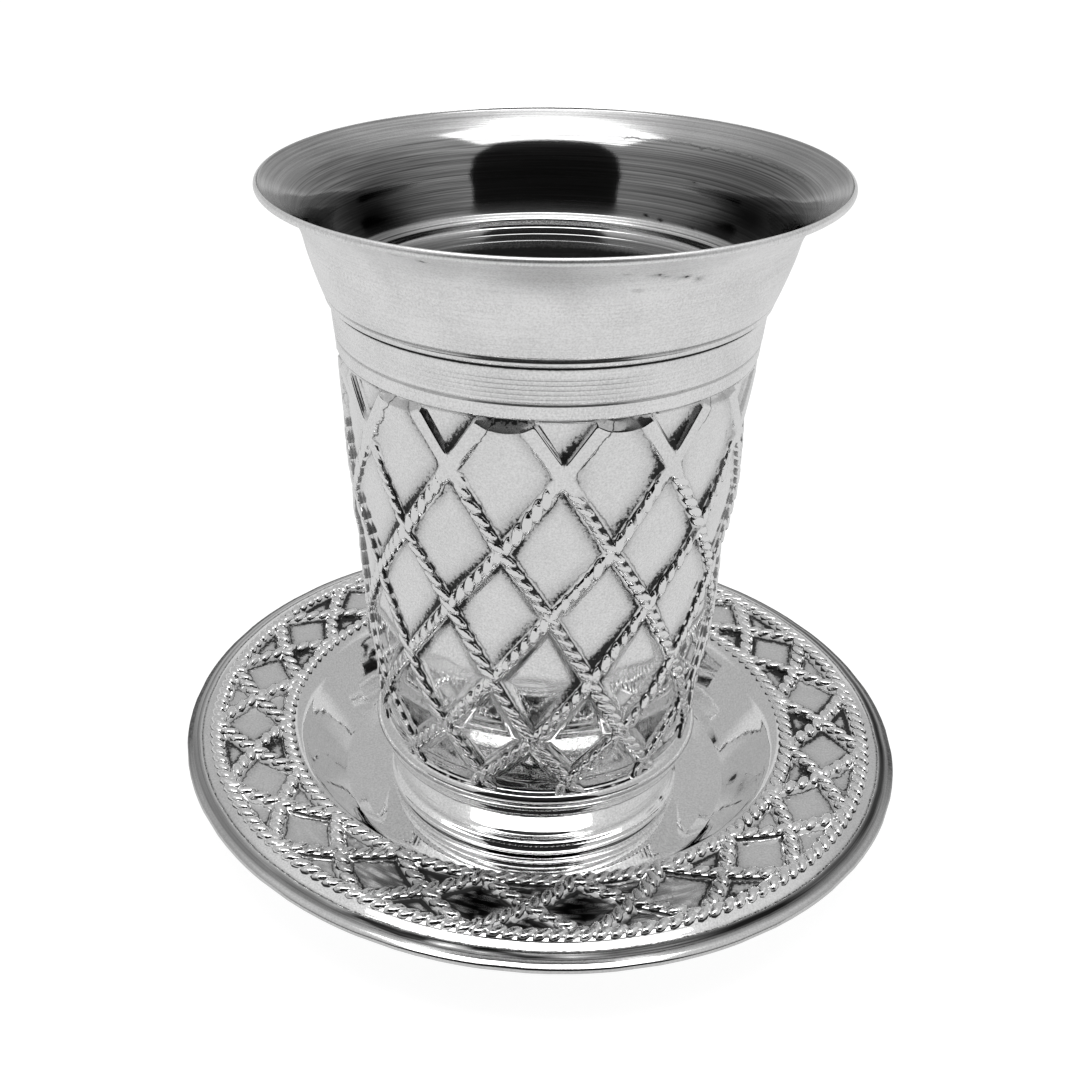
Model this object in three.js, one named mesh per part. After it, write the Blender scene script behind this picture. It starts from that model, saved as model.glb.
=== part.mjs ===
// A silver kiddush cup standing on its saucer.
//
// Millimetres, +Z up. The origin is the centre of the saucer's underside, so the set stands on z = 0.
// The front of the set faces -Y. Both pieces are spun vessels of sheet silver: the cup has a flared
// mouth, a lattice of crossing ropes on its body and a hollow foot, and the saucer has a ring of
// crossing ropes on its brim round a deep plain well.

import * as THREE from 'three';

const DEGREE = Math.PI / 180;

// Both pieces
const SHEET = 0.8;                 // thickness of the silver
const ROUND_SIDES = 40;            // facets round a plain ring
const HIDDEN_SIDES = 32;           // facets round a ring that hardly shows
const RESTING_GAP = 0.3;           // between the cup's foot and the saucer's floor
const SLOPE_SHARE = 0.6;           // of the sheet, by which a sloping wall's underside moves outwards

// Saucer, heights from the table
const FLOOR_RADIUS = 21.5;         // flat disc that the set stands on
const DISH = { radius: 29.3, height: 3.8 };
const WELL_WALL = { radius: 31.3, height: 5.9 };
const WELL_LIP = { radius: 33.6, height: 8.95 };
const INNER_ROPE = { radius: 35.7, crest: 10.5 };
const OUTER_ROPE = { radius: 45.75, crest: 11.3 };
const ROPE_HALF_WIDTH = 0.95;
const ROPE_RISE = 0.85;            // of a rope over the brim beside it
const SAUCER_CROSSINGS = 20;
const SAUCER_STRAND_HALF_WIDTH = 1.15;
const SAUCER_STRAND_HALF_TOP = 0.5;
const BRIM_CREASE = { radius: 47.8, height: 10.65 };
const SAUCER_EDGE = { radius: 50.1, height: 10.0, halfThickness: 0.25 };
const ROPE_CLEARANCE = 0.35;       // from a rope's foot to the first ring of the lattice

// Cup foot
const FOOT_BOTTOM = SHEET + RESTING_GAP;
const FLANGE_RADIUS = 20.9;
const FLANGE_THICKNESS = 0.9;
const FOOT_BAND = { bottomRadius: 20.1, bottom: 2.8, topRadius: 21.7, top: 8.5 };
const FOOT_GROOVE = { radius: 21.3, height: 9.4 };
const FOOT_BAND_HOLLOW = 0.1;      // of its middle, inside a straight line from top to bottom
const BEAD = { radius: 22.8, height: 11.4, halfHeight: 1.2, halfFlat: 0.5, neckRadius: 22.0 };
const BOWL_FLOOR = { radius: 18.9, height: 12.4 };
const INNER_BODY_HEIGHTS = [14.5, 27, 44, 74.2];

// Cup body, where the ropes cross
const CROSSING_HEIGHTS = [60.6, 50.1, 40.9, 30.9, 21.4, 14.3];
const CUP_CROSSINGS = 12;
const LATTICE_TOP = 67.3;
const STRAND_HALF_WIDTH = 1.35;     // of a strand's foot, measured level
const STRAND_HALF_TOP = 0.7;        // of its flat top
const STRAND_RISE = 0.75;
const PILLOW = 0.2;                // swell of a panel between the ropes
const CROSSING_SHARE = 0.2;        // of the way to the next crossing, where two strands part
const TWIST_AT_TOP = 5.6;          // degrees round from the front
const TWIST_FALL = 8.0;            // degrees lost on the way down
const TWIST_POWER = 1.7;

// Cup mouth
const PLAIN_BAND = { radius: 26.75, bottom: 67.9 };
const SEAM = { height: 74.8, bandRadius: 27.4, mouthRadius: 27.85 };
const RIM = { radius: 36.0, height: 89.3 };
const LIP_RADIUS = 0.55;           // half the thickness of the rolled lip
const LIP_ANGLES = [135, 65, 0];   // of its rings, from level outwards and up, over the top
const SEAM_DEPTH = 0.2;            // height of the step under the seam
const MOUTH_HEIGHTS = [88, 86, 83, 78.5];
const INNER_MOUTH_HEIGHTS = [76, 84.5, 87.5];
const MOUTH_WALL = 0.92;           // of the flaring mouth, measured level

// Radius over the ropes of the body, from the bead to the plain band
const bodyCurve = curveThrough([
  [12.5, 22.0], [19, 22.8], [26, 23.9], [36, 24.4], [43, 24.95], [50, 25.75], [58, 26.15], [68, 26.75],
]);

// Outer radius of the mouth, from the seam to the rim
const mouthCurve = curveThrough([
  [SEAM.height, SEAM.mouthRadius], [78, 29.0], [81, 29.95], [84, 30.8], [86.5, 32.6], [RIM.height, RIM.radius],
]);

// A smooth curve through [height, radius] points, read as radius at a height.
function curveThrough(points) {
  const spline = new THREE.SplineCurve(points.map(([height, radius]) => new THREE.Vector2(height, radius)));
  const samples = spline.getPoints(points.length * 16);
  return (height) => {
    const last = samples.length - 1;
    const after = samples.findIndex((sample) => sample.x >= height);
    if (after <= 0) return after === 0 ? samples[0].y : samples[last].y;
    const [low, high] = [samples[after - 1], samples[after]];
    return THREE.MathUtils.mapLinear(height, low.x, high.x, low.y, high.y);
  };
}

// A point at an azimuth in degrees, counted from the front (-Y) towards +X.
function pointAt(azimuth, radius, height) {
  const angle = azimuth * DEGREE;
  return new THREE.Vector3(radius * Math.sin(angle), -radius * Math.cos(angle), height);
}

function plainRing(radius, height, sides = ROUND_SIDES) {
  return Array.from({ length: sides }, (_, side) => pointAt((side * 360) / sides, radius, height));
}

// Closes a surface on the axis.
function pole(height) {
  return [new THREE.Vector3(0, 0, height)];
}

// Triangles between two rings, which may have different numbers of points.
function stitch(upper, lower, upperStart, lowerStart, triangles) {
  const upperSteps = upper.length === 1 ? 0 : upper.length;
  const lowerSteps = lower.length === 1 ? 0 : lower.length;
  let [i, j] = [0, 0];
  while (i < upperSteps || j < lowerSteps) {
    const a = upperStart + (i % upper.length);
    const b = lowerStart + (j % lower.length);
    const upperIsNext = j === lowerSteps || (i < upperSteps && (i + 1) / upperSteps <= (j + 1) / lowerSteps);
    if (upperIsNext) {
      i += 1;
      triangles.push(a, b, upperStart + (i % upper.length));
    } else {
      j += 1;
      triangles.push(a, b, lowerStart + (j % lower.length));
    }
  }
}

// One closed body from a run of rings that starts and ends on the axis.
function skin(rings) {
  const triangles = [];
  let start = 0;
  for (let index = 0; index + 1 < rings.length; index += 1) {
    const next = start + rings[index].length;
    stitch(rings[index], rings[index + 1], start, next, triangles);
    start = next;
  }
  const geometry = new THREE.BufferGeometry().setFromPoints(rings.flat());
  geometry.setIndex(triangles);
  geometry.computeVertexNormals();
  return geometry;
}

// One ring through a lattice of two strands that cross once in every pitch. The strands stand at
// spread to either side of the middle of a pitch, from 0 where they cross there to half a pitch
// where each crosses its neighbour. Each strand takes four points, two for its flat top and two for
// its foot, which draw together at a crossing. All angles are in degrees.
function latticeRing({ crossings, turn, spread, radius, pillow, halfTop, halfWidth, rise, lift }) {
  const halfPitch = 180 / crossings;
  const perDegree = radius * DEGREE;
  const [top, foot] = [halfTop / perDegree, halfWidth / perDegree];
  const columns = [
    0,
    Math.max(spread - foot, top * 0.25),
    THREE.MathUtils.clamp(spread - top, top * 0.5, halfPitch - top),
    THREE.MathUtils.clamp(spread + top, top, halfPitch - top * 0.5),
    Math.min(spread + foot, halfPitch - top * 0.25),
    halfPitch,
  ];
  const relief = columns.map((column) => {
    const distance = Math.abs(column - spread) * perDegree;
    return rise * THREE.MathUtils.clamp((halfWidth - distance) / (halfWidth - halfTop), 0, 1);
  });
  relief[0] += (pillow * spread) / halfPitch;
  relief[5] += pillow * (1 - spread / halfPitch);
  const pitchColumns = [...columns, ...columns.slice(1, 5).reverse().map((column) => 2 * halfPitch - column)];
  const pitchRelief = [...relief, ...relief.slice(1, 5).reverse()];
  const pitches = Array.from({ length: crossings }, (_, crossing) => turn + crossing * 2 * halfPitch);
  return pitches.flatMap((start) => pitchColumns.map((column, index) => lift(start + column, pitchRelief[index])));
}

// The cup's lattice leans slightly to one side on the way down.
function twistAt(height) {
  const fall = Math.max(0, CROSSING_HEIGHTS[0] - height) / (CROSSING_HEIGHTS[0] - CROSSING_HEIGHTS.at(-1));
  return TWIST_AT_TOP - TWIST_FALL * fall ** TWIST_POWER;
}

// How far the cup's strands stand from the middle of their pitch at a height: they cross there at
// even rows, and half a pitch away at odd rows.
function cupSpread(height) {
  const rows = CROSSING_HEIGHTS;
  const lastGap = rows.length - 2;
  let row = rows.findIndex((upper, index) => index <= lastGap && height >= rows[index + 1]);
  if (row < 0) row = lastGap;
  const fraction = (rows[row] - height) / (rows[row] - rows[row + 1]);
  const distance = row % 2 === 0 ? fraction : 1 - fraction;
  return Math.min(Math.abs(distance), 1) * (180 / CUP_CROSSINGS);
}

function cupLatticeRing(height) {
  const panelRadius = bodyCurve(height) - STRAND_RISE;
  return latticeRing({
    crossings: CUP_CROSSINGS,
    turn: twistAt(height),
    spread: cupSpread(height),
    radius: panelRadius,
    pillow: PILLOW,
    halfTop: STRAND_HALF_TOP,
    halfWidth: STRAND_HALF_WIDTH,
    rise: STRAND_RISE,
    lift: (azimuth, relief) => pointAt(azimuth, panelRadius + relief, height),
  });
}

// Heights of the rings through the cup's lattice, from the top down: one through each row of
// crossings, and one just above and below it, where the strands part.
function latticeHeights() {
  const tops = [LATTICE_TOP, ...CROSSING_HEIGHTS.slice(0, -1)];
  const between = tops.flatMap((upper, row) => [
    THREE.MathUtils.lerp(upper, CROSSING_HEIGHTS[row], CROSSING_SHARE),
    THREE.MathUtils.lerp(CROSSING_HEIGHTS[row], upper, CROSSING_SHARE),
    CROSSING_HEIGHTS[row],
  ]);
  return [LATTICE_TOP, ...between.slice(1)];
}

// Rings round the lip, over the top from the inside to the outside.
function lipRings() {
  const centre = { radius: RIM.radius - LIP_RADIUS, height: RIM.height };
  return LIP_ANGLES.map((degrees) => plainRing(
    centre.radius + LIP_RADIUS * Math.cos(degrees * DEGREE),
    centre.height + LIP_RADIUS * Math.sin(degrees * DEGREE),
  ));
}

// The foot's outside, from the bead down to the flange that it stands on.
function footRings() {
  const bandMiddle = {
    radius: (FOOT_BAND.topRadius + FOOT_BAND.bottomRadius) / 2 - FOOT_BAND_HOLLOW,
    height: (FOOT_BAND.top + FOOT_BAND.bottom) / 2,
  };
  return [
    plainRing(BEAD.neckRadius, BEAD.height + BEAD.halfHeight),
    plainRing(BEAD.radius, BEAD.height + BEAD.halfFlat),
    plainRing(BEAD.radius, BEAD.height - BEAD.halfFlat),
    plainRing(FOOT_GROOVE.radius, FOOT_GROOVE.height),
    plainRing(FOOT_BAND.topRadius, FOOT_BAND.top),
    plainRing(bandMiddle.radius, bandMiddle.height),
    plainRing(FOOT_BAND.bottomRadius, FOOT_BAND.bottom),
    plainRing(FLANGE_RADIUS, FOOT_BOTTOM + FLANGE_THICKNESS),
    plainRing(FLANGE_RADIUS, FOOT_BOTTOM),
  ];
}

// The hollow inside the foot, from its opening up to the underside of the bowl.
function footHollowRings() {
  const radius = FOOT_BAND.bottomRadius - SHEET;
  const top = BOWL_FLOOR.height - SHEET;
  return [plainRing(radius, FOOT_BOTTOM, HIDDEN_SIDES), plainRing(radius, top, HIDDEN_SIDES), pole(top)];
}

// The inside of the bowl, from the middle of its floor up to the lip.
function bowlRings() {
  const wall = STRAND_RISE + SHEET;
  return [
    pole(BOWL_FLOOR.height),
    plainRing(BOWL_FLOOR.radius, BOWL_FLOOR.height, HIDDEN_SIDES),
    ...INNER_BODY_HEIGHTS.map((height) => plainRing(bodyCurve(height) - wall, height, HIDDEN_SIDES)),
    ...INNER_MOUTH_HEIGHTS.map((height) => plainRing(mouthCurve(height) - MOUTH_WALL, height)),
  ];
}

function cupGeometry() {
  return skin([
    ...bowlRings(),
    ...lipRings(),
    ...MOUTH_HEIGHTS.map((height) => plainRing(mouthCurve(height), height)),
    plainRing(SEAM.mouthRadius, SEAM.height),
    plainRing(SEAM.bandRadius, SEAM.height - SEAM_DEPTH),
    plainRing(PLAIN_BAND.radius, PLAIN_BAND.bottom),
    ...latticeHeights().map(cupLatticeRing),
    ...footRings(),
    ...footHollowRings(),
  ]);
}

// Height of the saucer's brim under its ropes, which rises slightly outwards.
function brimHeight(radius) {
  return THREE.MathUtils.mapLinear(
    radius, INNER_ROPE.radius, OUTER_ROPE.radius, INNER_ROPE.crest - ROPE_RISE, OUTER_ROPE.crest - ROPE_RISE,
  );
}

function saucerLatticeRing(radius) {
  const middle = (INNER_ROPE.radius + OUTER_ROPE.radius) / 2;
  const halfSpan = (OUTER_ROPE.radius - INNER_ROPE.radius) / 2;
  return latticeRing({
    crossings: SAUCER_CROSSINGS,
    turn: 0,
    spread: (Math.abs(radius - middle) / halfSpan) * (180 / SAUCER_CROSSINGS),
    radius,
    pillow: 0,
    halfTop: SAUCER_STRAND_HALF_TOP,
    halfWidth: SAUCER_STRAND_HALF_WIDTH,
    rise: ROPE_RISE,
    lift: (azimuth, relief) => pointAt(azimuth, radius, brimHeight(radius) + relief),
  });
}

// Three rings that raise one rope round the brim.
function ropeRings({ radius, crest }) {
  return [-1, 0, 1].map((side) => {
    const ringRadius = radius + side * ROPE_HALF_WIDTH;
    return plainRing(ringRadius, side === 0 ? crest : brimHeight(ringRadius));
  });
}

// The saucer's brim and well from above, from the middle of the floor to the edge.
function saucerTopRings() {
  const middle = (INNER_ROPE.radius + OUTER_ROPE.radius) / 2;
  const ropeFoot = ROPE_HALF_WIDTH + ROPE_CLEARANCE;
  const parting = (OUTER_ROPE.radius - middle) * CROSSING_SHARE;
  const latticeRadii = [
    INNER_ROPE.radius + ropeFoot,
    middle - parting,
    middle,
    middle + parting,
    OUTER_ROPE.radius - ropeFoot,
  ];
  return [
    pole(SHEET),
    plainRing(FLOOR_RADIUS, SHEET),
    ...[DISH, WELL_WALL, WELL_LIP].map(({ radius, height }) => plainRing(radius, height)),
    ...ropeRings(INNER_ROPE),
    ...latticeRadii.map(saucerLatticeRing),
    ...ropeRings(OUTER_ROPE),
    plainRing(BRIM_CREASE.radius, BRIM_CREASE.height),
    plainRing(SAUCER_EDGE.radius, SAUCER_EDGE.height + SAUCER_EDGE.halfThickness),
  ];
}

// The saucer from below, from the edge to the middle of the flat disc that it stands on.
function saucerUndersideRings() {
  const below = ({ radius, height }) => plainRing(radius + SHEET * SLOPE_SHARE, height - SHEET, HIDDEN_SIDES);
  return [
    plainRing(SAUCER_EDGE.radius, SAUCER_EDGE.height - SAUCER_EDGE.halfThickness),
    plainRing(BRIM_CREASE.radius, BRIM_CREASE.height - SHEET, HIDDEN_SIDES),
    plainRing(INNER_ROPE.radius, brimHeight(INNER_ROPE.radius) - SHEET, HIDDEN_SIDES),
    ...[WELL_LIP, WELL_WALL, DISH].map(below),
    plainRing(FLOOR_RADIUS, 0, HIDDEN_SIDES),
    pole(0),
  ];
}

function saucerGeometry() {
  return skin([...saucerTopRings(), ...saucerUndersideRings()]);
}

const silver = { color: 0xd4d4d2, roughness: 0.28, metalness: 1.0 };

const cup = new THREE.Mesh(cupGeometry(), new THREE.MeshStandardMaterial(silver));
cup.name = 'cup';

const saucer = new THREE.Mesh(saucerGeometry(), new THREE.MeshStandardMaterial(silver));
saucer.name = 'saucer';

const set = new THREE.Group();
set.add(cup, saucer);

export default set;
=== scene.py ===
"""A silver kiddush cup standing on its saucer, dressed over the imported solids.

Sizes are in millimetres unless a name says otherwise, and meshes are scaled to metres when they
are made. Azimuths are degrees from the front (-Y) towards +X, and heights are from the table.
"""

import math

import bpy
import numpy as np
from bpy.props import FloatProperty, FloatVectorProperty, IntProperty, PointerProperty
from mathutils import Matrix, Vector


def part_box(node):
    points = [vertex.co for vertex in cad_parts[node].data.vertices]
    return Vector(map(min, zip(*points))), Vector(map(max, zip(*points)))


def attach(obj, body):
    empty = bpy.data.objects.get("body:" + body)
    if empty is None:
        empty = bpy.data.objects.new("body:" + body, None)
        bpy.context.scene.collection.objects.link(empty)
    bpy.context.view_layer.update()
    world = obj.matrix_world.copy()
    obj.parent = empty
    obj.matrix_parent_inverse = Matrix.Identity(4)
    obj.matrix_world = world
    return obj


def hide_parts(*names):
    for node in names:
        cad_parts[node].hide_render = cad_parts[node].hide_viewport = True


bl_info = {
    "name": "Kiddush Cup and Saucer",
    "version": (1, 0, 0),
    "blender": (4, 5, 0),
    "location": "View3D > Sidebar > Kiddush Cup",
    "description": "Builds the silver cup, its saucer, their rope work and a pale studio",
    "category": "Object",
}

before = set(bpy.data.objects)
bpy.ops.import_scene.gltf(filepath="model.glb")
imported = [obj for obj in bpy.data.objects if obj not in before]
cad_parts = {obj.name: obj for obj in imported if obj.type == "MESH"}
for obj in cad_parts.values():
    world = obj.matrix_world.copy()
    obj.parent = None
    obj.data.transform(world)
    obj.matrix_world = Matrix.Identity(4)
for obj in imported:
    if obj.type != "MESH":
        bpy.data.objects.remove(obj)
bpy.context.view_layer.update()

MM = 0.001
DEGREE = math.pi / 180
CUP_LOW, CUP_HIGH = (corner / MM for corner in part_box("cup"))

# Body: radius over the ropes as (height, radius), the heights where the ropes cross, its ends, the
# top of the lattice and the usual gap between two rows of crossings
BODY_CURVE = [
    (12.5, 22.0), (19, 22.8), (26, 23.9), (36, 24.4), (43, 24.95), (50, 25.75), (58, 26.15), (68, 26.75),
]
CROSSING_HEIGHTS = [60.6, 50.1, 40.9, 30.9, 21.4, 14.3]
BODY_BOTTOM = 12.6
BODY_TOP = 68.15
LATTICE_TOP = 67.5
ROW_GAP = 9.5

# The strands are flat ribbons above this height and ropes below it
ROPE_TOP = 59.6

# Azimuth of a crossing in the top row, and how far and how fast the lower ones turn back
TWIST_AT_TOP = 5.6
TWIST_FALL = 8.0
TWIST_POWER = 1.7

# Heights of the wall under the ropes and at the crossings, as shares of the rope's own
CORE_SHARE = 0.88
CROSSING_SHARE = 0.92
FOOT_RELIEF = 0.3

# Coves over the large top panels, with their half width in degrees
COVE_HEIGHT = 2.4
COVE_HALF_WIDTH = 8.0
COVE_DEPTH = 0.2

# Mouth: the plain band, the seam, the flare outside and inside as (height, radius), and the ledge
BAND_LINE = 70.1
GROOVE_PITCH = 0.6
GROOVE_DEPTH = 0.033
SEAM_HEIGHT = 74.8
SEAM_BAND_RADIUS = 27.4
MOUTH_CURVE = [(74.8, 27.85), (78, 29.0), (81, 29.95), (84.3, 30.85), (86.6, 32.45), (89.3, 36.0)]
INNER_MOUTH_CURVE = [
    (76.6, 27.55), (79, 28.3), (81, 28.95), (83, 29.5), (85, 30.4), (86.8, 31.9), (88.2, 33.6), (89.65, 35.6),
]
RIM_HEIGHT = 89.3
LIP_RADIUS = 0.55
LEDGE_TOP = 76.6
LEDGE_RADIUS = 26.6

# How dull the inside of the mouth is and how dark its painted shade, and the same at its lip
INSIDE_DULL_SHADE = 0.9
LIP_DULL_SHADE = 0.7

# Dark marks on the cup, as (azimuth, height, width in degrees, height of it)
# COVE_SHADE is painted shade in the coves over the large top panels
COVE_SHADE = (-8.0, 67.0, 16.0, 4.0)
# BAND_SHADE is painted reflection that darkens the plain band's grooves at the front
BAND_SHADE = (0.0, 72.0, 26.0, 9.0)
# INNER_SHADES are painted reflections: two soft black patches inside the mouth
INNER_SHADES = [(-124.0, 79.5, 19.0, 4.4), (114.0, 80.5, 23.0, 4.2)]
INNER_BLOTS = [
    (115.2, 86.8, 0.9, 0.15), (138.7, 82.6, 1.2, 0.2), (109.5, 84.4, 1.2, 0.15), (124.0, 85.6, 0.8, 0.12),
    (146.3, 77.0, 0.9, 0.2), (135.7, 76.9, 0.9, 0.2), (151.0, 77.3, 0.7, 0.15), (128.0, 78.0, 0.7, 0.2),
]
OUTER_BLOTS = [
    (20.5, 86.4, 1.2, 0.25), (23.0, 86.0, 0.7, 0.2), (27.0, 85.6, 1.4, 0.25), (31.0, 85.0, 0.9, 0.35),
    (-26.7, 88.2, 0.8, 0.15), (-22.6, 87.8, 0.5, 0.2), (18.2, 84.4, 0.8, 0.2), (14.0, 86.9, 0.6, 0.15),
]

# Scratch inside the mouth: its two azimuths, then its heights there
SCRATCH = (100.0, 163.0, 87.1, 86.7)

# Saucer: the two rope rings as (radius, height of the crest), the brim and the lines on its lip
INNER_ROPE = (35.7, 10.5)
OUTER_ROPE = (45.75, 11.3)
BRIM_MIDDLE = (INNER_ROPE[0] + OUTER_ROPE[0]) / 2
BRIM_HALF_SPAN = (OUTER_ROPE[0] - INNER_ROPE[0]) / 2
BRIM_START = 34.9
BRIM_END = 46.6
BRIM_DROP = 0.85
BRIM_CREASE = 47.85
LIP_LINE = 48.95

# Pits in the well, as (azimuth, radius, width in degrees, width along the radius)
WELL_PITS = [(80.7, 29.0, 1.3, 0.4), (73.5, 30.4, 1.5, 0.5), (70.0, 31.4, 1.6, 0.6), (102.0, 27.6, 1.0, 0.3)]

# The thin dark line beside a strand: its distance in half rope widths, and its own half width
OUTLINE_PLACE = 1.08
OUTLINE_HALF_WIDTH = 0.13


# ----- Shader expressions -----

def math_node(operation, swapped=False):
    """A method that adds a Math node for a Python operator."""
    def method(socket, *other):
        values = (*other, socket) if swapped else (socket, *other)
        return socket.nodes.node("ShaderNodeMath", {"operation": operation}, *values)
    return method


class Socket:
    """An output socket that takes part in Python arithmetic."""

    def __init__(self, nodes, output):
        self.nodes = nodes
        self.output = output

    __add__ = __radd__ = math_node("ADD")
    __mul__ = __rmul__ = math_node("MULTIPLY")
    __sub__ = math_node("SUBTRACT")
    __rsub__ = math_node("SUBTRACT", swapped=True)
    __truediv__ = math_node("DIVIDE")
    __pow__ = math_node("POWER")
    __abs__ = math_node("ABSOLUTE")

    def clamped(self):
        """Held between 0 and 1."""
        return self.nodes.node("ShaderNodeClamp", {}, self)

    def above(self, low, high):
        """0 below low, 1 above high, and smooth between."""
        settings = {"interpolation_type": "SMOOTHSTEP"}
        return self.nodes.node("ShaderNodeMapRange", settings, self, low, high)

    def below(self, low, high):
        """1 below low, 0 above high, and smooth between."""
        return 1 - self.above(low, high)


class Nodes:
    """A node tree that is built from Python expressions."""

    def __init__(self, tree):
        self.tree = tree

    def node(self, kind, settings, *values, output=0, **named):
        """One output of a new node, from its settings and the values or links of its sockets."""
        made = self.tree.nodes.new(kind)
        for key, value in settings.items():
            setattr(made, key, value)
        for index, value in enumerate(values):
            self.feed(made.inputs[index], value)
        for key, value in named.items():
            self.feed(made.inputs[key.replace("_", " ")], value)
        return Socket(self, made.outputs[output])

    def feed(self, target, value):
        if isinstance(value, Socket):
            self.tree.links.new(value.output, target)
        else:
            target.default_value = value

    def axes(self, vector):
        split = self.node("ShaderNodeSeparateXYZ", {}, vector).output.node
        return [Socket(self, output) for output in split.outputs]

    def vector(self, x, y, z):
        return self.node("ShaderNodeCombineXYZ", {}, x, y, z)


class Shader(Nodes):
    """The nodes of a material or a world."""

    def __init__(self, owner, surface="Principled BSDF"):
        owner.use_nodes = True
        super().__init__(owner.node_tree)
        self.owner = owner
        self.surface = self.tree.nodes[surface]

    @classmethod
    def for_material(cls, name):
        return cls(bpy.data.materials.new(name))

    def coordinates(self):
        return self.node("ShaderNodeTexCoord", {}, output="Object")

    def noise(self, vector, scale, detail=2.0, roughness=0.5):
        return self.node(
            "ShaderNodeTexNoise", {}, Vector=vector, Scale=scale, Detail=detail, Roughness=roughness,
        )

    def attribute(self, name):
        return self.node("ShaderNodeAttribute", {"attribute_name": name}, output="Fac")

    def mixed(self, factor, low, high, blend_type="MIX"):
        """Two colours mixed by a factor."""
        settings = {"data_type": "RGBA", "blend_type": blend_type}
        made = self.node("ShaderNodeMix", settings, factor, output=2)
        for index, colour in ((6, low), (7, high)):
            self.feed(made.output.node.inputs[index], colour)
        return made

    def bump(self, height, distance):
        return self.node("ShaderNodeBump", {}, Strength=1.0, Distance=distance, Height=height)

    def finish(self, **inputs):
        """Feeds the surface and gives back the material or the world."""
        for key, value in inputs.items():
            self.feed(self.surface.inputs[key.replace("_", " ")], value)
        return self.owner


# ----- Finishes -----

def grey(value):
    return (value, value, value, 1.0)


def darkening_on(shader, point, dull_and_shade):
    """0 to 1 where the silver is dark with patina and painted shade: the attribute that holds both, broken
    by fine specks, and a wandering line where the distance "edge" is near 0, as strong as "outline" says."""
    dirt_and_shade = shader.attribute("patina_and_shade")
    speckle = shader.noise(point, 2600.0, 3.0, 0.7)
    spots = (dirt_and_shade + (speckle - 0.5) * (1.6 - dull_and_shade * 1.3)).above(0.5, 1.0)
    offset = shader.attribute("edge") + (shader.noise(point, 600.0, 3.0, 0.65) - 0.5) * 1.3
    line = (1.0 - abs(offset) / OUTLINE_HALF_WIDTH).clamped() * shader.attribute("outline")
    return (spots * 0.7 + dirt_and_shade * 0.5 + line).clamped()


def silver(name, colours, lines_across, roughness=0.03, lines_depth=0.05, grain=0.06, streaks=0.03,
           upper_roughness=0.03, dull_roughness=0.0):
    """Old silver with fine turning lines, a satin grain, dark patina and painted shade. The attribute
    "inside" dulls it and darkens it with painted shade from 0 to 1, and paints it black as shade from 1
    to 2. lines_across turns the coordinates into (along, across) the turning lines."""
    shader = Shader.for_material(name)
    point = shader.coordinates()
    x, y, z = shader.axes(point)
    along, across = lines_across(x, y, z)
    lines = shader.noise(shader.vector(along, across, 0.0), 1.0, 3.0, 0.65)
    satin = shader.noise(point, 4200.0)
    cloud = shader.noise(point, 140.0, 3.0)
    inside = shader.attribute("inside")
    dull_and_shade = inside.clamped()
    darkening = darkening_on(shader, point, dull_and_shade)
    bright = (lines - 0.5) * streaks + (satin - 0.5) * 0.6 + (cloud - 0.5) * (streaks * 0.9 + 0.08) + 0.98
    clean = shader.mixed(1.0, bright, grey(colours.silver), "MULTIPLY")
    brushed = ((lines - 0.5) * 2.4 + 0.5).clamped()
    dimmed = shader.mixed(brushed, grey(colours.inside_shade_low), grey(colours.inside_shade_high))
    shaded_silver = shader.mixed(dull_and_shade, clean, dimmed)
    shaded_silver = shader.mixed((inside - 1.0).clamped(), shaded_silver, grey(colours.patina_and_shade))
    upper = z.above(0.02, 0.036) * upper_roughness + z.above(0.081, 0.085) * 0.22
    rougher = (1 - dull_and_shade) * upper + dull_and_shade * dull_roughness
    return shader.finish(
        Base_Color=shader.mixed(darkening, shaded_silver, grey(colours.patina_and_shade)),
        Roughness=darkening * 0.4 + rougher + roughness,
        Metallic=1 - darkening * 0.7,
        Normal=shader.bump(lines * lines_depth + satin * grain, 0.00002),
    )


def rope_silver(name, colours, shade):
    """Polished rope lobes, dark here and there with patina where they sink into the surface. shade
    turns the coordinates into what is added to the darkness, or taken off it."""
    shader = Shader.for_material(name)
    point = shader.coordinates()
    uneven = shader.noise(point, 1500.0)
    cloud = shader.noise(point, 110.0)
    low = shader.attribute("tip") + (uneven - 0.5) * 0.6 + (cloud - 0.5) * 1.3
    darkening = low.below(0.25, 0.5)
    dark = (darkening + shade(*shader.axes(point))).clamped()
    return shader.finish(
        Base_Color=shader.mixed(dark, grey(colours.silver), grey(colours.patina_and_shade)),
        Roughness=darkening * 0.4 + 0.09,
        Metallic=1 - darkening * 0.7,
        Normal=shader.bump(uneven, 0.00012),
    )


def quiet_sides(x, y, z):
    """Less patina in the ropes at the left and right of the cup."""
    return (x * x).above(0.0004, 0.0006) * -0.55


def brim_front_shade(x, y, z):
    """Painted reflection: darker ropes at the front of the saucer's brim, inside its outer rope."""
    radius = (x * x + y * y) ** 0.5
    return radius.below(0.0432, 0.0446) * y.below(-0.037, -0.029) * 0.4


def upright_lines(x, y, z):
    """Turning lines round an upright wall."""
    return x * 40.0 + y * 40.0, z * 5200.0


def flat_lines(x, y, z):
    """Turning lines round a flat dish."""
    radius = (x * x + y * y) ** 0.5
    return x * 40.0 + y * 40.0, radius * 5200.0


# ----- Curves and soft masks -----

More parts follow.
